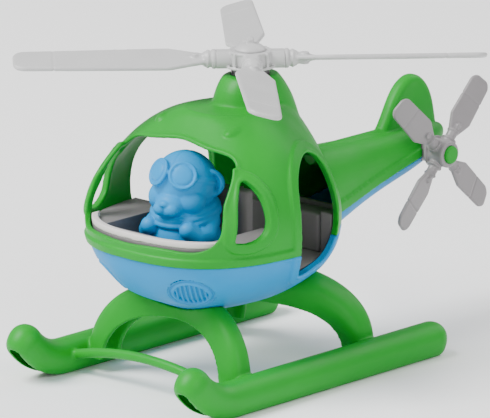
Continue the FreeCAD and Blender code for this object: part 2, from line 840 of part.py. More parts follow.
def tail_hub():
    """The barrel of the tail rotor."""
    half = tail_hub_width / 2
    hub = rod(tail_hub_radius, tail_point(tail_rotor_x - half), tail_point(tail_rotor_x + half))
    hub = hub.makeFillet(1.2, [edge for edge in hub.Edges if edge.Closed])
    bores = [tail_place(tail_root(), number) for number in range(blade_count)]
    seat = rod(tail_cap_radius, tail_point(tail_rotor_x + half - 1.0), tail_point(tail_rotor_x + half + 5))
    return hub.cut(bores + [tail_axle(), seat])


def tail_cap():
    """The round cap pressed into the hub's outer face."""
    start = tail_rotor_x + tail_hub_width / 2 - 1.0
    cap = rod(tail_cap_radius, tail_point(start), tail_point(start + 1.0 + tail_cap_height))
    rim = [edge for edge in cap.Edges if edge.Closed and edge.BoundBox.XMin > start + 1.5]
    return cap.makeFillet(tail_cap_height * 0.6, rim)


def tail_blade(number):
    """One tail blade: paddle, round root and a collar ring."""
    start = tail_hub_y + tail_hub_radius + 3.0
    tip = tail_hub_y + tail_rotor_radius
    half = tail_chord / 2
    wire = Part.makePolygon([
        V(0, start, -2.0), V(0, start + 10, -half), V(0, tip, -half * 0.92), V(0, tip, half * 0.92),
        V(0, start + 10, half), V(0, start, 2.0), V(0, start, -2.0),
    ])
    paddle = prism(wire, V(tail_blade_thickness, 0, 0))
    paddle.translate(V(-tail_blade_thickness / 2, 0, 0))
    corners = [edge for edge in paddle.Edges if edge.BoundBox.XLength > tail_blade_thickness * 0.9]
    outer = [edge for edge in corners if edge.Vertexes[0].Point.y > tip - 1]
    waist = [edge for edge in corners if abs(edge.Vertexes[0].Point.y - start - 10) < 1]
    paddle = paddle.makeFillet(4.2, outer + waist)
    rims = [edge for edge in paddle.Edges if edge.BoundBox.XLength < 0.01]
    paddle = paddle.makeChamfer(tail_blade_thickness * 0.25, rims)
    paddle.rotate(V(0, tail_hub_y, 0), Y_AXIS, tail_pitch)
    paddle.translate(V(tail_rotor_x, 0, tail_hub_z))
    collar_start = tail_point(tail_rotor_x) + Y_AXIS * (tail_hub_radius + 0.2)
    collar = rod(tail_root_radius + 0.8, collar_start, collar_start + Y_AXIS * 1.6)
    return tail_place(fuse(paddle, tail_root(), collar), number)


# ---- pilot --------------------------------------------------------------------------------------
def ball(radius, x, y, z):
    return Part.makeSphere(radius, V(x, pilot_y + y, z))


def pilot():
    """A seated animal figure in a flying cap with goggles, one moulding."""
    head_z = pilot_top_z - head_radius
    foot = floor_z + pilot_gap
    torso = Part.makeCone(pilot_half - 1.0, pilot_half - 3.5, head_z - 10 - foot, V(0, pilot_y, foot))
    torso = torso.makeFillet(2.0, [edge for edge in torso.Edges if edge.Closed and edge.BoundBox.ZMax < foot + 1])
    chest = ball(pilot_half - 2.5, 0, 0, head_z - 13)
    parts = [chest, ball(head_radius, 0, 0, head_z), ball(5.2, 0, -13.0, head_z - 6.5)]
    for side in (-1, 1):
        ear = rod(5.6, V(side * 13.5, pilot_y + 1.0, head_z + 3.5), V(side * 13.5, pilot_y + 5.0, head_z + 3.5))
        lens = Part.makeCylinder(4.6, 5.0, V(side * 6.2, pilot_y - 11.5, head_z + 4.5), V(side * 0.35, -1, 0.35))
        arm = rod(4.3, V(side * 12.5, pilot_y - 2, head_z - 18), V(side * 6.5, pilot_y - 14.5, head_z - 19))
        parts += [ear, lens, arm, ball(4.3, side * 6.5, -14.5, head_z - 19), ball(4.3, side * 12.5, -2, head_z - 18)]
    return fuse(torso, *parts)


# ---- main ---------------------------------------------------------------------------------------
def write(name, shape):
    """One STEP file per node, after a check that the shape is sound."""
    solids = shape.Solids
    if not solids or not all(solid.isValid() for solid in solids):
        raise ValueError(name + " is not a sound solid")
    whole = solids[0] if len(solids) == 1 else Part.Compound(solids)
    whole.exportStep("parts/" + name + ".step")
    print(name, len(solids), round(whole.Volume, 1), flush=True)


def main():
    os.makedirs("parts", exist_ok=True)
    hull, shell = make_fuselage()
    write("lower_hull", hull)
    write("upper_shell", shell)
    write("cabin_tub", cabin_tub())
    write("windscreen_ledge", windscreen_ledge())
    write("pilot_seat", pilot_seat())
    write("rear_bench", rear_bench())
    write("port_skid", skid(1))
    write("starboard_skid", skid(-1))
    write("front_arch", front_arch())
    write("rear_arch", rear_arch())
    write("front_tie_bar", tie_bar())
    write("mast_sleeve", mast_sleeve())
    write("mast", mast())
    write("mast_clip", mast_clip())
    write("rotor_hub", rotor_hub())
    write("rotor_cap", rotor_cap())
    for number in range(blade_count):
        write("rotor_blade_" + str(number + 1), rotor_blade(number))
    write("tail_bearing", tail_boss())
    write("tail_axle", tail_axle())
    write("tail_hub", tail_hub())
    write("tail_cap", tail_cap())
    for number in range(blade_count):
        write("tail_blade_" + str(number + 1), tail_blade(number))
    write("pilot", pilot())


main()
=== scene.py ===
"""Looks of a toy helicopter: soft plastic mouldings, detailed rotors and a seated animal pilot."""
import math

import bmesh
import bpy
import numpy
from mathutils import Matrix, Vector
from mathutils.kdtree import KDTree


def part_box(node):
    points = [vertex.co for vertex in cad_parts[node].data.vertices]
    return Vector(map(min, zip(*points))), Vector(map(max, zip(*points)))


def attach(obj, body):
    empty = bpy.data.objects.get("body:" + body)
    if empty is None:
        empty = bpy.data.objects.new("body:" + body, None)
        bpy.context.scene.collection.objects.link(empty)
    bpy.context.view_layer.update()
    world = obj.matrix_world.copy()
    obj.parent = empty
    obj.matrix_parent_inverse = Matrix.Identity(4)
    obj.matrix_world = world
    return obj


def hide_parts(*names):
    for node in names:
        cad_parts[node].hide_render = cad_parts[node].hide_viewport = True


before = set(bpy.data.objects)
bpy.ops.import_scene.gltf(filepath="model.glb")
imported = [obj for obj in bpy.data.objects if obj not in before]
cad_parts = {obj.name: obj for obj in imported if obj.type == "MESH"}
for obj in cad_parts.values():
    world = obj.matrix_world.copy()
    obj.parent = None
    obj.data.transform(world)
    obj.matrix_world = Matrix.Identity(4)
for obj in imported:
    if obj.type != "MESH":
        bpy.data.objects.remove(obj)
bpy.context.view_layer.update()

bl_info = {
    "name": "Toy Helicopter",
    "version": (1, 0, 0),
    "blender": (4, 5, 0),
    "location": "View3D > Sidebar > Helicopter",
    "description": "Builds the visible pieces and finishes of a moulded toy helicopter",
    "category": "Object",
}

MM = 0.001
UP = Vector((0, 0, 1))

# meshes
MERGE_GAP = 0.002 * MM  # doubles in a CAD mesh are closer than this
SHORT_EDGE = 0.01 * MM
ROUND_SIDES = 40  # sides of rods and balls
BALL_RINGS = 24
RING_SIDES = 16  # sides of a ring's section
RING_STEPS = 48
GROOVE_REACH = 3  # a groove fades out at this many widths
SMOOTH_FACTOR = 0.5

# rims of the openings
KNIFE_ANGLE = math.radians(62)
BEAD_SINK = 1.15  # depth of a bead under its edge, in radii
BEAD_SIDES = 10
KNOT_SWELL = 1.03  # balls that join beads, in radii

# pattern sizes of the plastic
CLOUD_SIZE = 18 * MM
PATCH_SIZE = 9 * MM
GRAIN_DEPTH = 0.05 * MM
GLOSS_SPREAD = 0.05
PLASTIC_IOR = 1.49
NOISE_LOW, NOISE_HIGH = 0.3, 0.7

# upper shell: heights from the ground, places along the toy from the mast's axis
BOOM_TOP = 101.5 * MM
RIDGE_RADIUS = 4.6 * MM
RIDGE_SINK = 3.6 * MM  # the ridge's middle is this far under the boom's top
RIDGE_FRONT = 44 * MM
RIDGE_END = 38 * MM  # ahead of the shell's rear end
ROOF_BUMP = Vector((23 * MM, -33 * MM, 127.9 * MM))
ROOF_BUMP_SIZE = (4.4 * MM, 8.6 * MM, 4.3 * MM)
ROOF_RIM_LOW = 84 * MM
ROOF_RIM_REAR = 30 * MM
COWL_RISE = 16 * MM  # from the cowl's foot to its top
COWL_LENGTHEN = 0.8
FILLET_HALF = 9 * MM
FILLET_REACH = 22 * MM
FILLET_PASSES = 12

# lower hull: where its openings have rims
HULL_RIM_LOW = 8 * MM  # above the hull's lowest point
HULL_RIM_HIGH = 3 * MM  # below its highest point
HULL_RIM_HALF = 34 * MM  # before and behind the mast

# chin vents: a pocket in the hull, and a grille with ring groove, rim and ribs
POCKET_EDGE = 2.9 * MM  # outside the oval
POCKET_DEPTH = 2.1 * MM
POCKET_REACH = (16 * MM, 15 * MM, 9 * MM)
SAMPLE_BAND = 2 * MM  # skin round the pocket that its shape is taken from
SAMPLE_FACING = 0.4
GRID_STEP = 0.2 * MM
GRID_BORDER = 3.2 * MM
GRILLE_EDGE = 3.1 * MM
GRILLE_THICKNESS = 0.6 * MM
GROOVE_PLACE, GROOVE_WIDTH, GROOVE_DEPTH = 2.0 * MM, 0.42 * MM, 0.8 * MM
RIM_PLACE, RIM_WIDTH, RIM_HEIGHT = 0.5 * MM, 0.5 * MM, 0.25 * MM
RIB_SHARPNESS, RIB_SHIFT = 3.5, 0.05
RECESS_DEPTH, RIB_HEIGHT = 1.6 * MM, 1.1 * MM
WALL_WIDTH, WALL_TOP = 0.6 * MM, 0.05 * MM

# blades: distances from the hub's middle and radii, in millimetres
MAIN_BLADE = {"boss": 27.0, "boss_half": 3.0, "boss_radius": 2.3, "collar": 21.0, "collar_radius": 3.9,
              "collar_thick": 0.8, "neck": (22, 32), "neck_radii": (3.4, 1.4), "straight": 30,
              "waist": 0.90, "swell": 0.13}
TAIL_BLADE = {"boss": 16.5, "boss_half": 2.2, "boss_radius": 1.5, "collar": 13.0, "collar_radius": 2.7,
              "collar_thick": 0.6, "neck": (11, 18), "neck_radii": (2.6, 1.1), "straight": 17,
              "waist": 0.84, "swell": 0.24, "stem": (8.0, 13.5), "stem_radius": 2.7}
BARREL_POWER = 0.85  # below one, the widest place moves towards the hub
BARREL_START = 0.08  # share of the blade over which the curve sets in
CREASE_WIDTH = 0.45 * MM

# hubs and caps
FLANGE_DROP, FLANGE_GROWTH, FLANGE_THICKNESS = 0.5 * MM, 2.4 * MM, 0.8 * MM
SWASH_RISE, SWASH_THICKNESS = 1.0 * MM, 0.75 * MM
PIN_INSET, PIN_RISE = 0.6 * MM, 0.4 * MM
CAP_RIM_RISE, CAP_RIM = 0.5 * MM, 0.7 * MM
FINIAL_SPREAD, FINIAL_SINK, FINIAL_HEIGHT = 1.7 * MM, 3.0 * MM, 2.6 * MM
FINIAL_FOOT, FINIAL_TIP = 0.75 * MM, 0.35 * MM
TAIL_RIM_INSET, TAIL_RIM_GROWTH, TAIL_RIM_THICKNESS = 1.6 * MM, 0.6 * MM, 0.8 * MM
TAIL_DOME = 1.6 * MM
SOCKET_RADIUS, COLLAR_RADIUS, COLLAR_THICKNESS = 3.5 * MM, 3.4 * MM, 0.6 * MM

# pilot: body, ears and goggles
WAIST_RISE, BELLY_HALF = 15 * MM, 19 * MM
SHOULDER_DROP, SHOULDER_HALF = 19 * MM, 12 * MM
EAR_RADIUS, EAR_RIM, EAR_SWEEP = 5.9 * MM, 1.45 * MM, math.radians(230)
EAR_CUP = (5.6 * MM, 1.1 * MM, 5.8 * MM)
GOGGLE_SINK, GOGGLE_RIM, LENS_DOME = 1.2 * MM, 1.5 * MM, 1.2 * MM
BRIDGE_SINK, STRAP_SINK = 2.6 * MM, 1.8 * MM
STRAP_END = math.radians(100)

# pilot: width and depth of the grooves
LENS_GROOVE = (0.55 * MM, 0.55 * MM)
CAP_SEAM = (0.5 * MM, 0.4 * MM)
NOSE_LINE = (0.5 * MM, 0.5 * MM)
MOUTH = (0.55 * MM, 0.6 * MM)
WHISKER_DOT = (0.6 * MM, 0.45 * MM)

# pilot: places from the middle of the head and half sizes, in millimetres
MUZZLE = ((0, -13.0, -8.6), (8.2, 7.6, 7.0))
NOSE_BRIDGE = ((0, -11.0, -1.5), (6.4, 5.6, 6.0))
CHIN = ((0, -12.6, -12.6), (5.6, 5.8, 4.2))
NOSE = ((0, -19.6, -6.8), (2.7, 2.0, 1.9))
CHEEK = ((8.4, -7.6, -6.4), (7.0, 7.2, 7.4))
UPPER_LIP = ((3.0, -17.4, -9.8), (4.2, 3.8, 3.7))
SCARF_FOLDS = ((10.4, 16.4, 1.9), (12.8, 17.7, 2.0), (15.2, 18.2, 1.7))  # drop, reach, thickness
ARM_PLACES = ((14.4, 0.5, -17.5), (16.6, -5.5, -22.8), (15.0, -11.5, -23.2), (11.2, -15.3, -19.8))
ARM_RADII = (4.6, 4.5, 4.1, 4.4)
BRIDGE_RADII = (4.4, 4.2, 3.9, 3.7, 3.6)
STRAP_RADIUS = 2.6
STRAP_POINTS = 7
WHISKER_DOTS = ((11.4, -4.6), (12.6, -6.4), (11.0, -7.4))  # aside and up

# studio: place, width in metres and power in watts
LIGHTS = {"key_light": ((-0.9, -1.6, 2.3), 1.5, 150.0), "fill_light": ((2.2, -0.6, 1.3), 1.8, 32.0),
          "back_light": ((0.4, 2.2, 1.8), 2.0, 30.0)}
LIGHT_AIM = Vector((0, 0, 0.08))
WORLD_STRENGTH = 0.6
AIM_BEHIND, AIM_HEIGHT = 10, 80  # the camera's aim from the mast's axis, in millimetres
AIM_LEFT, AIM_DOWN = 9.39, 2.72  # and its shift across the view


# ---- settings ----
class HelicopterFinish(bpy.types.PropertyGroup):
    """Colours of the mouldings, as sRGB hex values."""

    green: bpy.props.StringProperty(name="Green", description="Shell and landing gear", default="048E20")
    blue: bpy.props.StringProperty(name="Blue", description="Lower hull and pilot", default="0088C6")
    cabin_grey: bpy.props.StringProperty(name="Cabin grey", description="Cabin mouldings", default="767273")
    # the ledge's paler grey is a painted highlight: the cabin's grey plastic drawn lighter where the key
    # light falls
    ledge_grey: bpy.props.StringProperty(name="Ledge grey", description="Pale ledge", default="CFCAC8")
    rotor_grey: bpy.props.StringProperty(name="Rotor grey", description="Main rotor", default="B6B6B6")
    tail_grey: bpy.props.StringProperty(name="Tail grey", description="Tail rotor", default="858183")
    shaft_grey: bpy.props.StringProperty(name="Shaft grey", description="Mast and sleeve", default="3C3A3C")


class HelicopterMoulding(bpy.types.PropertyGroup):
    """How softly the mould's edges are rounded."""

    shell_grain: bpy.props.FloatProperty(
        name="Shell voxel", description="Remesh size of the halves", default=0.62 * MM, unit="LENGTH")
    rim_radius: bpy.props.FloatProperty(
        name="Rim radius", description="Radius of the openings' rims", default=1.15 * MM, unit="LENGTH")
    gear_grain: bpy.props.FloatProperty(
        name="Gear voxel", description="Remesh size of the landing gear", default=0.7 * MM, unit="LENGTH")
    small_grain: bpy.props.FloatProperty(
        name="Small voxel", description="Remesh size of the small pieces", default=0.4 * MM, unit="LENGTH")
    shell_limit: bpy.props.IntProperty(
        name="Triangle limit", description="Most triangles of one piece", default=180000)


class HelicopterRotor(bpy.types.PropertyGroup):
    """Details of both rotors."""

    crease_share: bpy.props.FloatProperty(
        name="Crease", description="Place of the crease along a main blade", default=0.83, subtype="FACTOR")
    tail_crease_share: bpy.props.FloatProperty(
        name="Tail crease", description="The same on a tail blade", default=0.72, subtype="FACTOR")
    crease_depth: bpy.props.FloatProperty(
        name="Crease depth", description="Depth of the creases", default=0.34 * MM, unit="LENGTH")
    pin_radius: bpy.props.FloatProperty(
        name="Pin radius", description="Upright pins beside the hub", default=0.8 * MM, unit="LENGTH")
    ring_radius: bpy.props.FloatProperty(
        name="Ring radius", description="Thin ring below the hub", default=12.0 * MM, unit="LENGTH")


class HelicopterVent(bpy.types.PropertyGroup):
    """The oval grilles in the chin."""

    aside: bpy.props.FloatProperty(
        name="Aside", description="From the middle plane", default=26.8 * MM, unit="LENGTH")
    ahead: bpy.props.FloatProperty(
        name="Ahead", description="Ahead of the mast", default=71 * MM, unit="LENGTH")
    height: bpy.props.FloatProperty(
        name="Height", description="Above the ground", default=54.3 * MM, unit="LENGTH")
    droop: bpy.props.FloatProperty(
        name="Droop", description="How far it faces down", default=math.radians(43.0), subtype="ANGLE")
    swing: bpy.props.FloatProperty(
        name="Swing", description="How far it faces aside", default=math.radians(31.0), subtype="ANGLE")
    half_wide: bpy.props.FloatProperty(
        name="Half width", description="Of the slotted oval", default=8.6 * MM, unit="LENGTH")
    half_high: bpy.props.FloatProperty(
        name="Half height", description="Of the slotted oval", default=8.6 * MM, unit="LENGTH")
    pitch: bpy.props.FloatProperty(name="Pitch", description="Rib to rib", default=2.4 * MM, unit="LENGTH")


class HelicopterPilot(bpy.types.PropertyGroup):
    """Main sizes of the seated pilot."""

    head_radius: bpy.props.FloatProperty(
        name="Head radius", description="Radius of the head", default=16.2 * MM, unit="LENGTH")
    body_radius: bpy.props.FloatProperty(
        name="Body radius", description="Half-width of the seated body", default=17.7 * MM, unit="LENGTH")
    turn: bpy.props.FloatProperty(
        name="Turn", description="How far the figure looks to port", default=math.radians(11.0),
        subtype="ANGLE")
    lens_radius: bpy.props.FloatProperty(
        name="Lens radius", description="Radius of a goggle lens", default=5.2 * MM, unit="LENGTH")
    lens_side: bpy.props.FloatProperty(
        name="Lens side", description="How far a lens faces to its side", default=math.radians(28.0),
        subtype="ANGLE")
    lens_lift: bpy.props.FloatProperty(
        name="Lens lift", description="How far a lens faces upwards", default=math.radians(26.0),
        subtype="ANGLE")


class HelicopterStage(bpy.types.PropertyGroup):
    """Camera, floor and lights."""

    azimuth: bpy.props.FloatProperty(
        name="Azimuth", description="Camera angle from the nose towards port", default=math.radians(43.0),
        subtype="ANGLE")
    elevation: bpy.props.FloatProperty(
        name="Elevation", description="Camera angle above the floor", default=math.radians(14.86),
        subtype="ANGLE")
    distance: bpy.props.FloatProperty(
        name="Distance", description="Camera to the toy", default=3.5, unit="LENGTH")
    lens: bpy.props.FloatProperty(name="Lens", description="Focal length in millimetres", default=516.0)
    floor_size: bpy.props.FloatProperty(
        name="Floor", description="Width of the floor", default=8.0, unit="LENGTH")


def settings(name):
    """One of the settings groups on the scene."""
    return getattr(bpy.context.scene, "helicopter_" + name)


# ---- small tools ----
def fresh_object(name, mesh):
    """A new object at the origin that holds the mesh."""
    piece = bpy.data.objects.new(name, mesh)
    bpy.context.scene.collection.objects.link(piece)
    return piece


def mesh_from(shape, name):
    """Turns a bmesh into mesh data and frees it."""
    mesh = bpy.data.meshes.new(name)
    bmesh.ops.recalc_face_normals(shape, faces=shape.faces)
    shape.to_mesh(mesh)
    shape.free()
    return mesh


def node_shape(node):
    """A merged bmesh copy of a CAD node."""
    shape = bmesh.new()
    shape.from_mesh(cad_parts[node].data)
    bmesh.ops.remove_doubles(shape, verts=shape.verts, dist=MERGE_GAP)
    return shape


def join_shapes(name, shapes):
    """Several closed bmeshes in one mesh."""
    whole = bmesh.new()
    for shape in shapes:
        part = bpy.data.meshes.new("part")
        shape.to_mesh(part)
        shape.free()
        whole.from_mesh(part)
        bpy.data.meshes.remove(part)
    mesh = bpy.data.meshes.new(name)
    whole.to_mesh(mesh)
    whole.free()
    return mesh


def ball(centre, radii, turn=None):
    """An ellipsoid."""
    shape = bmesh.new()
    bmesh.ops.create_uvsphere(shape, u_segments=ROUND_SIDES, v_segments=BALL_RINGS, radius=1.0)
    place = Matrix.Translation(centre) @ (turn or Matrix.Identity(4)) @ Matrix.Diagonal((*radii, 1.0))
    bmesh.ops.transform(shape, matrix=place, verts=shape.verts)
    return shape


def rod(start, end, radius, end_radius=None, sides=ROUND_SIDES):
    """A cylinder or cone between two points."""
    run = end - start
    shape = bmesh.new()
    bmesh.ops.create_cone(shape, cap_ends=True, segments=sides, radius1=radius,
                          radius2=radius if end_radius is None else end_radius, depth=run.length)
    turn = run.to_track_quat("Z", "Y").to_matrix().to_4x4()
    bmesh.ops.transform(shape, matrix=Matrix.Translation((start + end) / 2) @ turn, verts=shape.verts)
    return shape


def capsule_chain(points, radii):
    """Round limbs through points, as balls joined by cones."""
    shapes = [ball(point, (radius,) * 3) for point, radius in zip(points, radii)]
    for i in range(len(points) - 1):
        shapes.append(rod(points[i], points[i + 1], radii[i], radii[i + 1]))
    return shapes


def ring(centre, axis, radius, thickness, sweep=math.tau, start=None):
    """A torus, or an arc of one, about an axis; start is the direction of its first point."""
    shape = bmesh.new()
    side = (start or axis.orthogonal()).normalized()
    first = bmesh.ops.create_circle(shape, cap_ends=False, segments=RING_SIDES, radius=thickness)["verts"]
    out = side.cross(axis).normalized()
    turn = Matrix((side, axis.normalized(), -out)).transposed().to_4x4()
    place = Matrix.Translation(centre + side * radius) @ turn
    bmesh.ops.transform(shape, matrix=place, verts=first)
    full = abs(sweep - math.tau) < 1e-6
    bmesh.ops.spin(shape, geom=shape.verts[:] + shape.edges[:], cent=centre, axis=axis, angle=sweep,
                   steps=RING_STEPS, use_merge=full)
    if not full:
        bmesh.ops.holes_fill(shape, edges=[edge for edge in shape.edges if edge.is_boundary])
    bmesh.ops.recalc_face_normals(shape, faces=shape.faces)
    return shape


def settle(piece):
    """Applies a piece's modifiers to its mesh."""
    graph = bpy.context.evaluated_depsgraph_get()
    mesh = bpy.data.meshes.new_from_object(piece.evaluated_get(graph))
    piece.modifiers.clear()
    old = piece.data
    piece.data = mesh
    bpy.data.meshes.remove(old)


def soften(piece, voxel, passes, limit=None):
    """Melts a piece's solids into one skin with rounded edges, as a mould gives them."""
    remesh = piece.modifiers.new("melt", "REMESH")
    remesh.mode = "VOXEL"
    remesh.voxel_size = voxel
    smooth = piece.modifiers.new("round", "SMOOTH")
    smooth.factor = SMOOTH_FACTOR
    smooth.iterations = passes
    settle(piece)
    count = sum(len(face.vertices) - 2 for face in piece.data.polygons)
    if limit and count > limit:
        thin = piece.modifiers.new("thin", "DECIMATE")
        thin.ratio = limit / count
        settle(piece)
    smooth_faces(piece)


def smooth_faces(piece):
    """Shades a piece without facets."""
    for face in piece.data.polygons:
        face.use_smooth = True


def moulded(name, shapes, body, nodes, voxel, passes, finish, limit=None):
    """A softened piece that stands for CAD nodes."""
    piece = fresh_object(name, join_shapes(name, shapes))
    soften(piece, voxel, passes, limit)
    piece.data.materials.clear()
    piece.data.materials.append(finish)
    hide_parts(*nodes)
    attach(piece, body)
    return piece


def carve(piece, path, width, depth):
    """Sinks a groove along a path of points."""
    tree = KDTree(len(path))
    for i, point in enumerate(path):
        tree.insert(point, i)
    tree.balance()
    moves = []
    for vertex in piece.data.vertices:
        gap = tree.find(vertex.co)[2]
        if gap < GROOVE_REACH * width:
            moves.append((vertex, vertex.normal * (-depth * math.exp(-(gap / width) ** 2))))
    for vertex, move in moves:
        vertex.co += move
    piece.data.update()


def crease(piece, hub, out, place, width, depth):
    """Sinks a crease right round a blade, at a distance from its hub."""
    for vertex in piece.data.vertices:
        gap = (vertex.co - hub).dot(out) - place
        if abs(gap) < GROOVE_REACH * width:
            vertex.co += vertex.normal * (-depth * math.exp(-(gap / width) ** 2))
    piece.data.update()


def line(start, end, count):
    """Evenly spaced points between two points."""
    return [start.lerp(end, i / count) for i in range(count + 1)]


def rim_beads(node, radius, keep):
    """Round beads along a node's knife-like edges, so that its openings end in a full, soft rim."""
    shape = node_shape(node)
    beads = []
    spots, pulls = {}, {}
    for edge in shape.edges:
        if len(edge.link_faces) != 2 or not edge.is_convex:
            continue
        if edge.calc_face_angle() < KNIFE_ANGLE or not keep((edge.verts[0].co + edge.verts[1].co) / 2):
            continue
        inward = -(edge.link_faces[0].normal + edge.link_faces[1].normal)
        for vert in edge.verts:
            spots[vert.index] = vert.co.copy()
            pulls[vert.index] = pulls.get(vert.index, Vector()) + inward
        beads.append((edge.verts[0].index, edge.verts[1].index))
    shape.free()
    centres = {key: spot + pulls[key].normalized() * radius * BEAD_SINK for key, spot in spots.items()}
    shapes = []
    for first, second in beads:
        run = centres[second] - centres[first]
        if run.length > SHORT_EDGE:
            shapes.append(rod(centres[first], centres[second], radius, None, BEAD_SIDES))
    for centre in centres.values():
        knot = bmesh.new()
        bmesh.ops.create_icosphere(knot, subdivisions=1, radius=radius * KNOT_SWELL)
        bmesh.ops.translate(knot, vec=centre, verts=knot.verts)
        shapes.append(knot)
    return shapes


def relax(piece, inside, passes):
    """Extra smoothing where inside(point) is true, which turns a corner into a fillet."""
    shape = bmesh.new()
    shape.from_mesh(piece.data)
    chosen = [vert for vert in shape.verts if inside(vert.co)]
    for _ in range(passes):
        bmesh.ops.smooth_vert(shape, verts=chosen, factor=SMOOTH_FACTOR,
                              use_axis_x=True, use_axis_y=True, use_axis_z=True)
    shape.to_mesh(piece.data)
    shape.free()


# ---- finishes ----
def linear(hex_colour):
    """An sRGB hex colour as linear red, green, blue and alpha."""
    channels = []
    for i in (0, 2, 4):
        value = int(hex_colour[i:i + 2], 16) / 255
        channels.append(value / 12.92 if value <= 0.04045 else ((value + 0.055) / 1.055) ** 2.4)
    return (*channels, 1.0)


def add_node(tree, kind, values=None, links=None):
    """Adds a shader node with its input values and links."""
    new = tree.nodes.new(kind)
    for key, value in (values or {}).items():
        new.inputs[key].default_value = value
    for key, output in (links or {}).items():
        tree.links.new(output, new.inputs[key])
    return new


def plastic(name, colour, roughness, cloud, grain_mm, bump, shine):
    """Moulded plastic: even colour with faint clouding, and a fine grained skin from the tool."""
    material = bpy.data.materials.get(name)
    if material:
        return material
    material = bpy.data.materials.new(name)
    material.use_nodes = True
    tree = material.node_tree
    shader = tree.nodes["Principled BSDF"]
    place = add_node(tree, "ShaderNodeTexCoord").outputs["Object"]

    def noise(size, detail):
        """Soft noise whose clouds have about the given size."""
        return add_node(tree, "ShaderNodeTexNoise", {"Scale": 1 / size, "Detail": detail},
                        {"Vector": place}).outputs["Fac"]

    def stretched(value, low, high):
        """The noise's middle range, stretched from low to high."""
        span = {"From Min": NOISE_LOW, "From Max": NOISE_HIGH, "To Min": low, "To Max": high}
        return add_node(tree, "ShaderNodeMapRange", span, {"Value": value}).outputs["Result"]

    # pigment never mixes quite evenly: broad faint clouds
    spread = stretched(noise(CLOUD_SIZE, 3.0), 1 - cloud, 1 + cloud)
    tint = add_node(tree, "ShaderNodeHueSaturation", {"Color": linear(colour)}, {"Value": spread})
    tree.links.new(tint.outputs["Color"], shader.inputs["Base Color"])
    # handling leaves the skin a little glossier in patches
    gloss = stretched(noise(PATCH_SIZE, 2.0), roughness - GLOSS_SPREAD, roughness + GLOSS_SPREAD)
    tree.links.new(gloss, shader.inputs["Roughness"])
    # the tool's spark-eroded grain, drawn coarser than life so that it still shows
    relief = add_node(tree, "ShaderNodeBump", {"Strength": bump, "Distance": GRAIN_DEPTH},
                      {"Height": noise(grain_mm * MM, 4.0)})
    tree.links.new(relief.outputs["Normal"], shader.inputs["Normal"])
    shader.inputs["IOR"].default_value = PLASTIC_IOR
    shader.inputs["Specular IOR Level"].default_value = shine
    return material


# for each colour setting: name, roughness, clouding, grain in millimetres, bump and shine
FINISHES = {
    # polyethylene, injection moulded: saturated, satin, with broad soft highlights
    "green": ("green_polyethylene_moulded", 0.46, 0.035, 0.9, 0.25, 0.22),
    # the same plastic in blue, slightly softer in gloss
    "blue": ("blue_polyethylene_moulded", 0.48, 0.03, 0.9, 0.25, 0.22),
    # dull grey polyethylene with a coarser grain, which keeps the cabin quiet
    "cabin_grey": ("cabin_grey_polyethylene_moulded", 0.58, 0.05, 1.1, 0.35, 0.3),
    # the cabin's grey polyethylene painted paler as a painted highlight for the key light on the ledge's
    # front face; smoother than the cabin
    "ledge_grey": ("ledge_painted_highlight_grey_polyethylene", 0.50, 0.03, 0.9, 0.25, 0.3),
    # near-white polypropylene: slightly waxy and smoother, so collars catch small highlights
    "rotor_grey": ("rotor_grey_polypropylene_moulded", 0.36, 0.02, 0.8, 0.15, 0.5),
    # mid-grey polypropylene, as waxy as the main rotor
    "tail_grey": ("tail_grey_polypropylene_moulded", 0.38, 0.03, 0.8, 0.15, 0.45),
    # dark acetal, turned and slick: the darkest, glossiest piece
    "shaft_grey": ("shaft_grey_acetal_turned", 0.33, 0.03, 0.7, 0.10, 0.5),
}


def finish_of(setting):
    """The plastic that belongs to a colour setting."""
    name, roughness, cloud, grain_mm, bump, shine = FINISHES[setting]
    return plastic(name, getattr(settings("finish"), setting), roughness, cloud, grain_mm, bump, shine)


# ---- airframe ----
def mast_axis():
    """The middle of the mast, at its lower end."""
    low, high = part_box("mast")
    return Vector(((low.x + high.x) / 2, (low.y + high.y) / 2, low.z))


class HelicopterUpperShell(bpy.types.Operator):
    """The green upper shell with its filleted cowl, boom ridge, roof bumps and rimmed openings"""

    bl_idname = "helicopter.upper_shell"
    bl_label = "Upper shell"

    def execute(self, context):
        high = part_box("upper_shell")[1]
        mould = settings("moulding")
        mast = mast_axis()
        ridge = rod(Vector((0, mast.y + RIDGE_FRONT, BOOM_TOP - RIDGE_SINK)),
                    Vector((0, high.y - RIDGE_END, BOOM_TOP - RIDGE_SINK)), RIDGE_RADIUS)
        shapes = [node_shape("upper_shell"), ridge] + rim_beads(
            "upper_shell", mould.rim_radius,
            lambda spot: spot.z > ROOF_RIM_LOW and spot.y < mast.y + ROOF_RIM_REAR)
        for side in (-1, 1):
            bump = Vector((side * ROOF_BUMP.x, mast.y + ROOF_BUMP.y, ROOF_BUMP.z))
            shapes.append(ball(bump, ROOF_BUMP_SIZE))
        shell = moulded("upper_shell_skin", shapes, "airframe", ["upper_shell"],
                        mould.shell_grain, 3, finish_of("green"), mould.shell_limit)
        foot = high.z - COWL_RISE

        def by_cowl(point):
            """True near the foot of the cowl."""
            aside = math.hypot(point.x, (point.y - mast.y) * COWL_LENGTHEN)
            return abs(point.z - foot) < FILLET_HALF and aside < FILLET_REACH

        relax(shell, by_cowl, FILLET_PASSES)
        return {"FINISHED"}


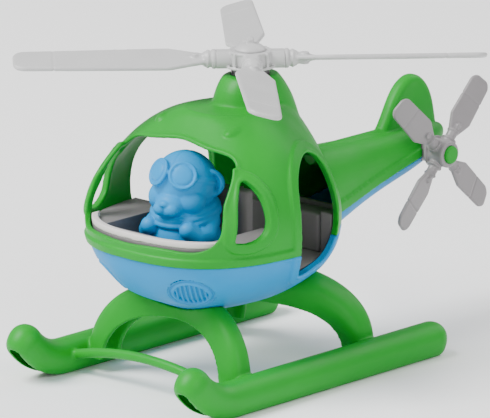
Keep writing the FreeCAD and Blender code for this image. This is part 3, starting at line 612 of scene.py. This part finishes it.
class HelicopterLowerHull(bpy.types.Operator):
    """The blue lower hull with its ribbed chin vents"""

    bl_idname = "helicopter.lower_hull"
    bl_label = "Lower hull"

    def execute(self, context):
        mould = settings("moulding")
        low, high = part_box("lower_hull")
        mast = mast_axis()

        def by_opening(spot):
            """True along the doors and the belly's openings."""
            beside = abs(spot.y - mast.y) < HULL_RIM_HALF
            return low.z + HULL_RIM_LOW < spot.z < high.z - HULL_RIM_HIGH and beside

        shapes = [node_shape("lower_hull")] + rim_beads("lower_hull", mould.rim_radius, by_opening)
        hull = moulded("lower_hull_skin", shapes, "airframe", ["lower_hull"],
                       mould.shell_grain, 2, finish_of("blue"), mould.shell_limit)
        for side, name in ((1, "port_vent"), (-1, "starboard_vent")):
            self.vent(hull, name, side)
        return {"FINISHED"}

    def vent(self, hull, name, side):
        """An oval grille with upright slots inside a ring groove, set into a pocket of the hull."""
        size = settings("vent")
        flat = math.cos(size.droop)
        axis = Vector((side * flat * math.sin(size.swing), -flat * math.cos(size.swing),
                       -math.sin(size.droop)))
        along = UP.cross(axis).normalized()
        up = axis.cross(along)
        middle = Vector((side * size.aside, mast_axis().y - size.ahead, size.height))

        def local(point):
            """A point's place along, up and out from the vent's middle."""
            gap = point - middle
            return gap.dot(along), gap.dot(up), gap.dot(axis)

        def beyond(s, t):
            """Distance outside the oval, about."""
            share = math.hypot(s / size.half_wide, t / size.half_high)
            slope = math.hypot(s / size.half_wide ** 2, t / size.half_high ** 2)
            return (share - 1) * share / slope if slope > 1e-6 else -size.half_high

        rows, heights, inside = [], [], []
        for vertex in hull.data.vertices:
            s, t, h = local(vertex.co)
            if abs(s) > POCKET_REACH[0] or abs(t) > POCKET_REACH[1] or abs(h) > POCKET_REACH[2]:
                continue
            gap = beyond(s, t)
            if gap < POCKET_EDGE:
                inside.append((vertex, s, t, h))
            elif gap < POCKET_EDGE + SAMPLE_BAND and vertex.normal.dot(axis) > SAMPLE_FACING:
                rows.append(self.terms(s, t))
                heights.append(h)
        fit = numpy.linalg.lstsq(numpy.array(rows), numpy.array(heights), rcond=None)[0]

        def skin(s, t):
            """Height of the hull's skin over the vent's plane, as if it had no pocket."""
            return float(numpy.dot(self.terms(s, t), fit))

        for vertex, s, t, h in inside:
            sunk = skin(s, t) - POCKET_DEPTH
            if h > sunk:
                vertex.co += axis * (sunk - h)

        wide, tall = size.half_wide + GRID_BORDER, size.half_high + GRID_BORDER
        shape = bmesh.new()
        bmesh.ops.create_grid(shape, x_segments=round(2 * wide / GRID_STEP),
                              y_segments=round(2 * tall / GRID_STEP), size=1.0)
        outside = []
        for vert in shape.verts:
            s, t = vert.co.x * wide, vert.co.y * tall
            gap = beyond(s, t)
            vert.co = middle + along * s + up * t + axis * (skin(s, t) + self.relief(s, gap))
            if gap > GRILLE_EDGE:
                outside.append(vert)
        bmesh.ops.delete(shape, geom=outside, context="VERTS")
        grille = fresh_object(name, mesh_from(shape, name))
        plate = grille.modifiers.new("plate", "SOLIDIFY")
        plate.thickness = GRILLE_THICKNESS
        plate.offset = -1.0 if self.faces(grille, axis) else 1.0
        settle(grille)
        smooth_faces(grille)
        grille.data.materials.append(finish_of("blue"))
        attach(grille, "airframe")

    def faces(self, piece, axis):
        """True if a sheet's faces look along the axis."""
        return sum(face.normal.dot(axis) for face in piece.data.polygons) > 0

    def terms(self, s, t):
        """Terms of a gently curved surface, in centimetres to keep them alike in size."""
        a, b = s * 100, t * 100
        return [1.0, a, b, a * a, a * b, b * b, a ** 3, b ** 3, a * a * b, a * b * b]

    def relief(self, s, gap):
        """Height of the grille above the skin: ring groove, rim, recess and ribs."""
        size = settings("vent")
        if gap > 0:
            groove = math.exp(-((gap - GROOVE_PLACE) / GROOVE_WIDTH) ** 2)
            rim = math.exp(-((gap - RIM_PLACE) / RIM_WIDTH) ** 2)
            return -GROOVE_DEPTH * groove + RIM_HEIGHT * rim
        share = math.cos(math.tau * s / size.pitch)
        rib = 0.5 + 0.5 * math.tanh(RIB_SHARPNESS * (share - RIB_SHIFT))
        floor = -RECESS_DEPTH + RIB_HEIGHT * rib
        wall = min(1.0, -gap / WALL_WIDTH)
        return floor * wall + WALL_TOP * (1 - wall)


class HelicopterLandingGear(bpy.types.Operator):
    """Skids, arches and tie bar, flowing into each other as one green frame"""

    bl_idname = "helicopter.landing_gear"
    bl_label = "Landing gear"

    def execute(self, context):
        mould = settings("moulding")
        nodes = ["port_skid", "starboard_skid", "front_arch", "rear_arch", "front_tie_bar"]
        moulded("landing_gear", [node_shape(name) for name in nodes], "airframe", nodes,
                mould.gear_grain, 4, finish_of("green"), mould.shell_limit)
        return {"FINISHED"}


class HelicopterCabin(bpy.types.Operator):
    """The grey cabin mouldings and the ledge, whose paler grey is a painted highlight"""

    bl_idname = "helicopter.cabin"
    bl_label = "Cabin"

    def execute(self, context):
        mould = settings("moulding")
        for node in ("cabin_tub", "pilot_seat", "rear_bench"):
            moulded(node + "_skin", [node_shape(node)], "airframe", [node],
                    mould.shell_grain, 3, finish_of("cabin_grey"), mould.shell_limit)
        # the ledge gets the pale grey, a painted highlight for the light on its front face
        moulded("windscreen_ledge_skin", [node_shape("windscreen_ledge")], "airframe", ["windscreen_ledge"],
                mould.small_grain, 2, finish_of("ledge_grey"))
        return {"FINISHED"}


class HelicopterMastSleeve(bpy.types.Operator):
    """The dark sleeve, shaft and clip, with the tail rotor's bearing and axle"""

    bl_idname = "helicopter.mast_sleeve"
    bl_label = "Mast sleeve"

    def execute(self, context):
        mould = settings("moulding")
        moulded("mast_sleeve_skin", [node_shape("mast_sleeve")], "airframe", ["mast_sleeve"],
                mould.small_grain, 1, finish_of("shaft_grey"))
        moulded("tail_bearing_skin", [node_shape("tail_bearing")], "airframe", ["tail_bearing"],
                mould.small_grain, 1, finish_of("tail_grey"))
        for node, finish in (("mast", "shaft_grey"), ("mast_clip", "shaft_grey"), ("tail_axle", "tail_grey")):
            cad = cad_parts[node]
            cad.data.materials.clear()
            cad.data.materials.append(finish_of(finish))
        return {"FINISHED"}


# ---- rotors ----
def box_middle(node):
    """The middle of a CAD node's box."""
    low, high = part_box(node)
    return (low + high) / 2


def blade_direction(node, hub, axis):
    """Unit vector from the hub along a blade, square to the rotor's axis."""
    out = box_middle(node) - hub
    return (out - axis * out.dot(axis)).normalized()


def barrel(shape, hub, out, aside, start, reach, waist, swell):
    """Gives a blade's straight sides a slight outward curve between start and reach."""
    for vert in shape.verts:
        gap = vert.co - hub
        share = min(1.0, max(0.0, (gap.dot(out) - start) / (reach - start)))
        if gap.dot(out) > start:
            scale = waist + swell * math.sin(math.pi * share ** BARREL_POWER)
            scale = 1.0 + (scale - 1.0) * min(1.0, share / BARREL_START)
            vert.co += aside * gap.dot(aside) * (scale - 1.0)


def blade_reach(node, hub, out):
    """Distance from the hub's middle to a blade's tip."""
    return max((vertex.co - hub).dot(out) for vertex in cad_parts[node].data.vertices)


def root_shapes(hub, out, axis, size):
    """What a blade carries on its root: boss, stem, collar and a tapering neck."""
    boss = hub + out * size["boss"] * MM
    half = axis * size["boss_half"] * MM
    shapes = [rod(boss - half, boss + half, size["boss_radius"] * MM)]
    if "stem" in size:
        start, end = size["stem"]
        shapes.append(rod(hub + out * start * MM, hub + out * end * MM, size["stem_radius"] * MM))
    shapes.append(ring(hub + out * size["collar"] * MM, out, size["collar_radius"] * MM,
                       size["collar_thick"] * MM))
    return shapes + capsule_chain([hub + out * place * MM for place in size["neck"]],
                                  [radius * MM for radius in size["neck_radii"]])


class HelicopterMainRotor(bpy.types.Operator):
    """Main rotor: hub with flange, pins and swash ring, domed cap, and four creased blades"""

    bl_idname = "helicopter.main_rotor"
    bl_label = "Main rotor"

    def execute(self, context):
        rotor = settings("rotor")
        mould = settings("moulding")
        low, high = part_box("rotor_hub")
        axis = UP
        hub = Vector((*mast_axis().xy, (low.z + high.z) / 2))
        radius = (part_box("rotor_cap")[1].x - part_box("rotor_cap")[0].x) / 2
        shapes = [node_shape("rotor_hub")]
        shapes.append(ring(Vector((hub.x, hub.y, high.z - FLANGE_DROP)), axis, radius + FLANGE_GROWTH,
                           FLANGE_THICKNESS))
        shapes.append(ring(Vector((hub.x, hub.y, low.z + SWASH_RISE)), axis, rotor.ring_radius,
                           SWASH_THICKNESS))
        for number in range(1, 5):
            out = blade_direction("rotor_blade_" + str(number), hub, axis)
            aside = axis.cross(out)
            pin = hub + (out + aside).normalized() * (rotor.ring_radius - PIN_INSET)
            shapes.append(rod(Vector((pin.x, pin.y, low.z + PIN_RISE)), Vector((pin.x, pin.y, high.z)),
                              rotor.pin_radius))
        moulded("rotor_hub_skin", shapes, "main_rotor", ["rotor_hub"],
                mould.small_grain * 0.9, 1, finish_of("rotor_grey"), mould.shell_limit)
        self.cap(hub, high.z)
        for number in range(1, 5):
            self.blade("rotor_blade_" + str(number), hub, axis)
        return {"FINISHED"}

    def cap(self, hub, base):
        """The domed cap with a rim, and a finial of four small points."""
        cap_low, cap_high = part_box("rotor_cap")
        crown = cap_high.z
        shapes = [node_shape("rotor_cap")]
        shapes.append(ring(Vector((hub.x, hub.y, base + CAP_RIM_RISE)), UP,
                           (cap_high.x - cap_low.x) / 2 - CAP_RIM, CAP_RIM))
        for i in range(4):
            angle = math.tau * i / 4
            foot = Vector((hub.x + FINIAL_SPREAD * math.cos(angle), hub.y + FINIAL_SPREAD * math.sin(angle),
                           crown - FINIAL_SINK))
            shapes.append(rod(foot, foot + Vector((0, 0, FINIAL_HEIGHT)), FINIAL_FOOT, FINIAL_TIP))
        moulded("rotor_cap_skin", shapes, "main_rotor", ["rotor_cap"],
                settings("moulding").small_grain * 0.8, 1, finish_of("rotor_grey"))

    def blade(self, node, hub, axis):
        """A paddle with collar, boss and neck on its root, and a crease near its tip."""
        rotor = settings("rotor")
        out = blade_direction(node, hub, axis)
        reach = blade_reach(node, hub, out)
        paddle = node_shape(node)
        barrel(paddle, hub, out, axis.cross(out), MAIN_BLADE["straight"] * MM, reach,
               MAIN_BLADE["waist"], MAIN_BLADE["swell"])
        shapes = [paddle] + root_shapes(hub, out, axis, MAIN_BLADE)
        piece = moulded(node + "_skin", shapes, "main_rotor", [node],
                        settings("moulding").small_grain * 1.3, 2, finish_of("rotor_grey"))
        crease(piece, hub, out, reach * rotor.crease_share, CREASE_WIDTH, rotor.crease_depth)


class HelicopterTailRotor(bpy.types.Operator):
    """Tail rotor: barrel hub with collars, domed cap and four creased blades"""

    bl_idname = "helicopter.tail_rotor"
    bl_label = "Tail rotor"

    def execute(self, context):
        mould = settings("moulding")
        axis = Vector((1, 0, 0))
        low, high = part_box("tail_hub")
        hub = (low + high) / 2
        shapes = [node_shape("tail_hub")]
        shapes.append(ring(Vector((low.x + TAIL_RIM_INSET, hub.y, hub.z)), axis,
                           (high.y - low.y) / 2 + TAIL_RIM_GROWTH, TAIL_RIM_THICKNESS))
        for number in range(1, 5):
            out = blade_direction("tail_blade_" + str(number), hub, axis)
            root = hub + out * (high.y - low.y) / 2
            shapes.append(rod(hub + out * 4.0 * MM, root + out * 1.6 * MM, SOCKET_RADIUS))
            shapes.append(ring(root + out * 1.2 * MM, out, COLLAR_RADIUS, COLLAR_THICKNESS))
        moulded("tail_hub_skin", shapes, "tail_rotor", ["tail_hub"],
                mould.small_grain * 0.9, 1, finish_of("tail_grey"))
        cap_low, cap_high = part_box("tail_cap")
        cap = ball(Vector((cap_high.x - TAIL_DOME, hub.y, hub.z)),
                   (TAIL_DOME, (cap_high.y - cap_low.y) / 2, (cap_high.z - cap_low.z) / 2))
        moulded("tail_cap_skin", [node_shape("tail_cap"), cap], "tail_rotor", ["tail_cap"],
                mould.small_grain * 0.8, 2, finish_of("green"))
        for number in range(1, 5):
            self.blade("tail_blade_" + str(number), hub, axis)
        return {"FINISHED"}

    def blade(self, node, hub, axis):
        """A short paddle, mirrored so that its pitch turns the right way, with root parts and a crease."""
        rotor = settings("rotor")
        out = blade_direction(node, hub, axis)
        reach = blade_reach(node, hub, out)
        aside = axis.cross(out)
        paddle = node_shape(node)
        for vert in paddle.verts:
            vert.co -= aside * 2 * (vert.co - hub).dot(aside)
        bmesh.ops.reverse_faces(paddle, faces=paddle.faces)
        barrel(paddle, hub, out, aside, TAIL_BLADE["straight"] * MM, reach,
               TAIL_BLADE["waist"], TAIL_BLADE["swell"])
        shapes = [paddle] + root_shapes(hub, out, axis, TAIL_BLADE)
        piece = moulded(node + "_skin", shapes, "tail_rotor", [node],
                        settings("moulding").small_grain, 2, finish_of("tail_grey"))
        crease(piece, hub, out, reach * rotor.tail_crease_share, CREASE_WIDTH, rotor.crease_depth)


# ---- pilot ----
class HelicopterPilotFigure(bpy.types.Operator):
    """The seated animal pilot in a flying cap, goggles and scarf"""

    bl_idname = "helicopter.pilot_figure"
    bl_label = "Pilot"

    def execute(self, context):
        low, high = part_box("pilot")
        size = settings("pilot")
        mould = settings("moulding")
        head = Vector(((low.x + high.x) / 2, 0, high.z - size.head_radius))
        head.y = self.head_y()
        shapes = self.body(head, low.z) + self.face(head)
        for side in (-1, 1):
            shapes += self.goggle(head, side) + self.ear(head, side) + self.arm(head, side)
        for shape in shapes:
            bmesh.ops.rotate(shape, cent=head, matrix=Matrix.Rotation(size.turn, 3, "Z"), verts=shape.verts)
        piece = moulded("pilot_skin", shapes, "pilot_figure", ["pilot"],
                        mould.small_grain * 1.15, 3, finish_of("blue"), mould.shell_limit)
        self.details(piece, head)
        return {"FINISHED"}

    def head_y(self):
        """The head's place along the toy, found from the CAD figure's highest point."""
        top = max(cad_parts["pilot"].data.vertices, key=lambda vertex: vertex.co.z)
        return top.co.y

    def body(self, head, foot):
        """Torso, shoulders and the folds of the scarf."""
        size = settings("pilot")
        wide = size.body_radius
        base = Vector((head.x, head.y, foot))
        waist = base + Vector((0, 0, WAIST_RISE))
        shapes = [rod(base, waist, wide * 0.97, wide), ball(waist, (wide, wide, BELLY_HALF))]
        shoulders = Vector((head.x, head.y, head.z - SHOULDER_DROP))
        shapes.append(ball(shoulders, (wide, wide * 0.94, SHOULDER_HALF)))
        tilt = Vector((0.0, -0.22, 1.0)).normalized()
        for drop, reach, thick in SCARF_FOLDS:
            shapes.append(ring(head + Vector((0, 0, -drop * MM)), tilt, (reach - thick) * MM, thick * MM))
        return shapes

    def face(self, head):
        """Head, cheeks, snout, nose and chin."""
        size = settings("pilot")
        shapes = [ball(head, (size.head_radius, size.head_radius, size.head_radius))]
        for place, half in (MUZZLE, NOSE_BRIDGE, CHIN, NOSE):
            shapes.append(self.lump(head, 1, place, half))
        for side in (-1, 1):
            for place, half in (CHEEK, UPPER_LIP):
                shapes.append(self.lump(head, side, place, half))
        return shapes

    def lump(self, head, side, place, half):
        """A ball of the face, on the given side of the head."""
        x, y, z = place
        return ball(head + Vector((side * x, y, z)) * MM, tuple(value * MM for value in half))

    def around_head(self, side, angle, lift, radius):
        """A point round the head, from its front by an angle and a lift."""
        spot = Vector((side * math.cos(lift) * math.sin(angle), -math.cos(lift) * math.cos(angle),
                       math.sin(lift)))
        return spot * radius

    def lens_direction(self, side):
        """Unit vector from the head's middle to the middle of a lens."""
        size = settings("pilot")
        flat = math.cos(size.lens_lift)
        return Vector((side * flat * math.sin(size.lens_side), -flat * math.cos(size.lens_side),
                       math.sin(size.lens_lift)))

    def goggle(self, head, side):
        """One half of the goggles: a thick frame round a slightly domed lens, a bridge and a strap."""
        size = settings("pilot")
        out = self.lens_direction(side)
        seat = head + out * (size.head_radius - GOGGLE_SINK)
        rim = size.lens_radius + GOGGLE_RIM
        shapes = [rod(seat - out * 3 * MM, seat + out * 2.2 * MM, rim + 0.5 * MM, rim - 0.1 * MM)]
        shapes.append(ring(seat + out * 1.8 * MM, out, rim - 0.3 * MM, 0.9 * MM))
        shapes.append(ball(seat + out * 2.2 * MM, (size.lens_radius, size.lens_radius, LENS_DOME),
                           out.to_track_quat("Z", "Y").to_matrix().to_4x4()))
        bridge = []
        for i in range(len(BRIDGE_RADII)):
            angle = size.lens_side * (1 - i / 4)
            lift = size.lens_lift + math.radians(4.0) * i / 4
            bridge.append(head + self.around_head(side, angle, lift, size.head_radius - BRIDGE_SINK))
        shapes += capsule_chain(bridge, [radius * MM for radius in BRIDGE_RADII])
        strap = []
        for i in range(STRAP_POINTS):
            angle = size.lens_side + (STRAP_END - size.lens_side) * i / 6
            lift = size.lens_lift * (1 - 0.75 * i / 6)
            strap.append(head + self.around_head(side, angle, lift, size.head_radius - STRAP_SINK))
        return shapes + capsule_chain(strap, [STRAP_RADIUS * MM] * STRAP_POINTS)

    def ear(self, head, side):
        """A big cupped ear: a round rim that opens forwards, with a thin shell behind it."""
        centre = head + Vector((side * 13.6, 1.2, 1.1)) * MM
        back = Vector((side * 0.82, 0.57, 0.0)).normalized()
        axis = back.cross(UP).normalized()
        first = Matrix.Rotation(-EAR_SWEEP / 2, 3, axis) @ back
        rim = ring(centre, axis, EAR_RADIUS, EAR_RIM, EAR_SWEEP, first)
        cup = ball(centre + back * 0.4 * MM - axis * 1.1 * MM * side, EAR_CUP,
                   axis.to_track_quat("Y", "Z").to_matrix().to_4x4())
        return [rim, cup]

    def arm(self, head, side):
        """A sleeve from the shoulder round to a paw held in front."""
        points = [head + Vector((side * x, y, z)) * MM for x, y, z in ARM_PLACES]
        return capsule_chain(points, [radius * MM for radius in ARM_RADII])

    def details(self, piece, head):
        """Grooves: round the lenses, the cap's seam, nose line, mouth and whisker dots."""
        size = settings("pilot")

        def cut(path, section):
            """A groove along a path that turns with the head."""
            turn = Matrix.Rotation(size.turn, 3, "Z")
            carve(piece, [head + turn @ (point - head) for point in path], *section)

        for side in (-1, 1):
            out = self.lens_direction(side)
            seat = head + out * (size.head_radius + 0.9 * MM)
            first = out.orthogonal().normalized()
            second = out.cross(first)
            circle = [seat + (first * math.cos(t) + second * math.sin(t)) * size.lens_radius
                      for t in [math.tau * i / 90 for i in range(90)]]
            cut(circle, LENS_GROOVE)
        seam = [head + Vector((0, -math.cos(t), math.sin(t))) * size.head_radius
                for t in [math.radians(48 + 1.5 * i) for i in range(70)]]
        cut(seam, CAP_SEAM)
        nose = head + Vector((0, -21.0, -8.2)) * MM
        lip = head + Vector((0, -20.2, -12.4)) * MM
        cut(line(nose, lip, 20), NOSE_LINE)
        smile = []
        for i in range(32):
            t = math.radians(-62 + 4 * i)
            smile.append(head + Vector((4.6 * math.sin(t), -19.8 + 3.2 * (1 - math.cos(t)),
                                        -12.4 - 1.0 * math.cos(2 * t))) * MM)
        cut(smile, MOUTH)
        for side in (-1, 1):
            for x, z in WHISKER_DOTS:
                depth = math.sqrt(max(0.0, 15.6 ** 2 - x * x)) + 1.5
                cut([head + Vector((side * x, -depth, z)) * MM], WHISKER_DOT)


# ---- stage ----
class HelicopterStageSet(bpy.types.Operator):
    """Pale floor, soft studio lights and the camera"""

    bl_idname = "helicopter.stage"
    bl_label = "Stage"

    def execute(self, context):
        stage = settings("stage")
        shape = bmesh.new()
        bmesh.ops.create_grid(shape, x_segments=1, y_segments=1, size=stage.floor_size / 2)
        floor = fresh_object("studio_floor", mesh_from(shape, "studio_floor"))
        floor.data.materials.append(self.paper())
        self.world()
        for name, (place, size, power) in LIGHTS.items():
            self.light(name, Vector(place), size, power)
        self.camera()
        return {"FINISHED"}

    def paper(self):
        """Matt white paper, without any pattern."""
        # uncoated paper: bright, fully diffuse
        material = bpy.data.materials.new("studio_paper_uncoated")
        material.use_nodes = True
        shader = material.node_tree.nodes["Principled BSDF"]
        shader.inputs["Base Color"].default_value = linear("FAFAFA")
        shader.inputs["Roughness"].default_value = 0.9
        shader.inputs["Specular IOR Level"].default_value = 0.1
        return material

    def world(self):
        """An even, dim white surround."""
        world = bpy.data.worlds.new("studio_air")
        world.use_nodes = True
        back = world.node_tree.nodes["Background"]
        back.inputs["Color"].default_value = (1.0, 1.0, 1.0, 1.0)
        back.inputs["Strength"].default_value = WORLD_STRENGTH
        bpy.context.scene.world = world

    def light(self, name, place, size, power):
        """A large square soft box aimed at the cabin."""
        lamp = bpy.data.lights.new(name, "AREA")
        lamp.size = size
        lamp.energy = power
        box = bpy.data.objects.new(name, lamp)
        bpy.context.scene.collection.objects.link(box)
        box.location = place
        aim = LIGHT_AIM - place
        box.rotation_euler = aim.to_track_quat("-Z", "Y").to_euler()

    def camera(self):
        """A long lens from the port bow; the aim is a point of the toy near its middle."""
        stage = settings("stage")
        around = stage.azimuth
        up = stage.elevation
        back = Vector((math.sin(around) * math.cos(up), -math.cos(around) * math.cos(up), math.sin(up)))
        right = Vector((math.cos(around), math.sin(around), 0))
        above = back.cross(right)
        aim = Vector((0, mast_axis().y + AIM_BEHIND * MM, AIM_HEIGHT * MM))
        aim = aim - right * AIM_LEFT * MM - above * AIM_DOWN * MM
        view = bpy.data.cameras.new("studio_camera")
        view.lens = stage.lens
        view.clip_end = 50.0
        camera = bpy.data.objects.new("studio_camera", view)
        bpy.context.scene.collection.objects.link(camera)
        camera.location = aim + back * stage.distance
        camera.rotation_euler = back.to_track_quat("Z", "Y").to_euler()
        bpy.context.scene.camera = camera


# ---- panel and registration ----
OPERATORS = (HelicopterUpperShell, HelicopterLowerHull, HelicopterLandingGear, HelicopterCabin,
             HelicopterMastSleeve, HelicopterMainRotor, HelicopterTailRotor, HelicopterPilotFigure,
             HelicopterStageSet)
GROUPS = {"finish": HelicopterFinish, "moulding": HelicopterMoulding, "rotor": HelicopterRotor,
          "vent": HelicopterVent, "pilot": HelicopterPilot, "stage": HelicopterStage}


class HelicopterPanel(bpy.types.Panel):
    """Lists the pieces and their settings"""

    bl_idname = "VIEW3D_PT_helicopter"
    bl_label = "Toy helicopter"
    bl_space_type = "VIEW_3D"
    bl_region_type = "UI"
    bl_category = "Helicopter"

    def draw(self, context):
        for name in GROUPS:
            group = settings(name)
            box = self.layout.box()
            for key in group.bl_rna.properties.keys():
                if key not in ("name", "rna_type"):
                    box.prop(group, key)
        for operator in OPERATORS:
            self.layout.operator(operator.bl_idname)


def register():
    for group in GROUPS.values():
        bpy.utils.register_class(group)
    for name, group in GROUPS.items():
        setattr(bpy.types.Scene, "helicopter_" + name, bpy.props.PointerProperty(type=group))
    for item in OPERATORS + (HelicopterPanel,):
        bpy.utils.register_class(item)


def unregister():
    for item in reversed(OPERATORS + (HelicopterPanel,)):
        bpy.utils.unregister_class(item)
    for name in GROUPS:
        delattr(bpy.types.Scene, "helicopter_" + name)
    for group in reversed(list(GROUPS.values())):
        bpy.utils.unregister_class(group)


def main():
    """Builds every piece in order."""
    register()
    for operator in OPERATORS:
        group, call = operator.bl_idname.split(".")
        getattr(getattr(bpy.ops, group), call)()


if __name__ == "__main__":
    main()
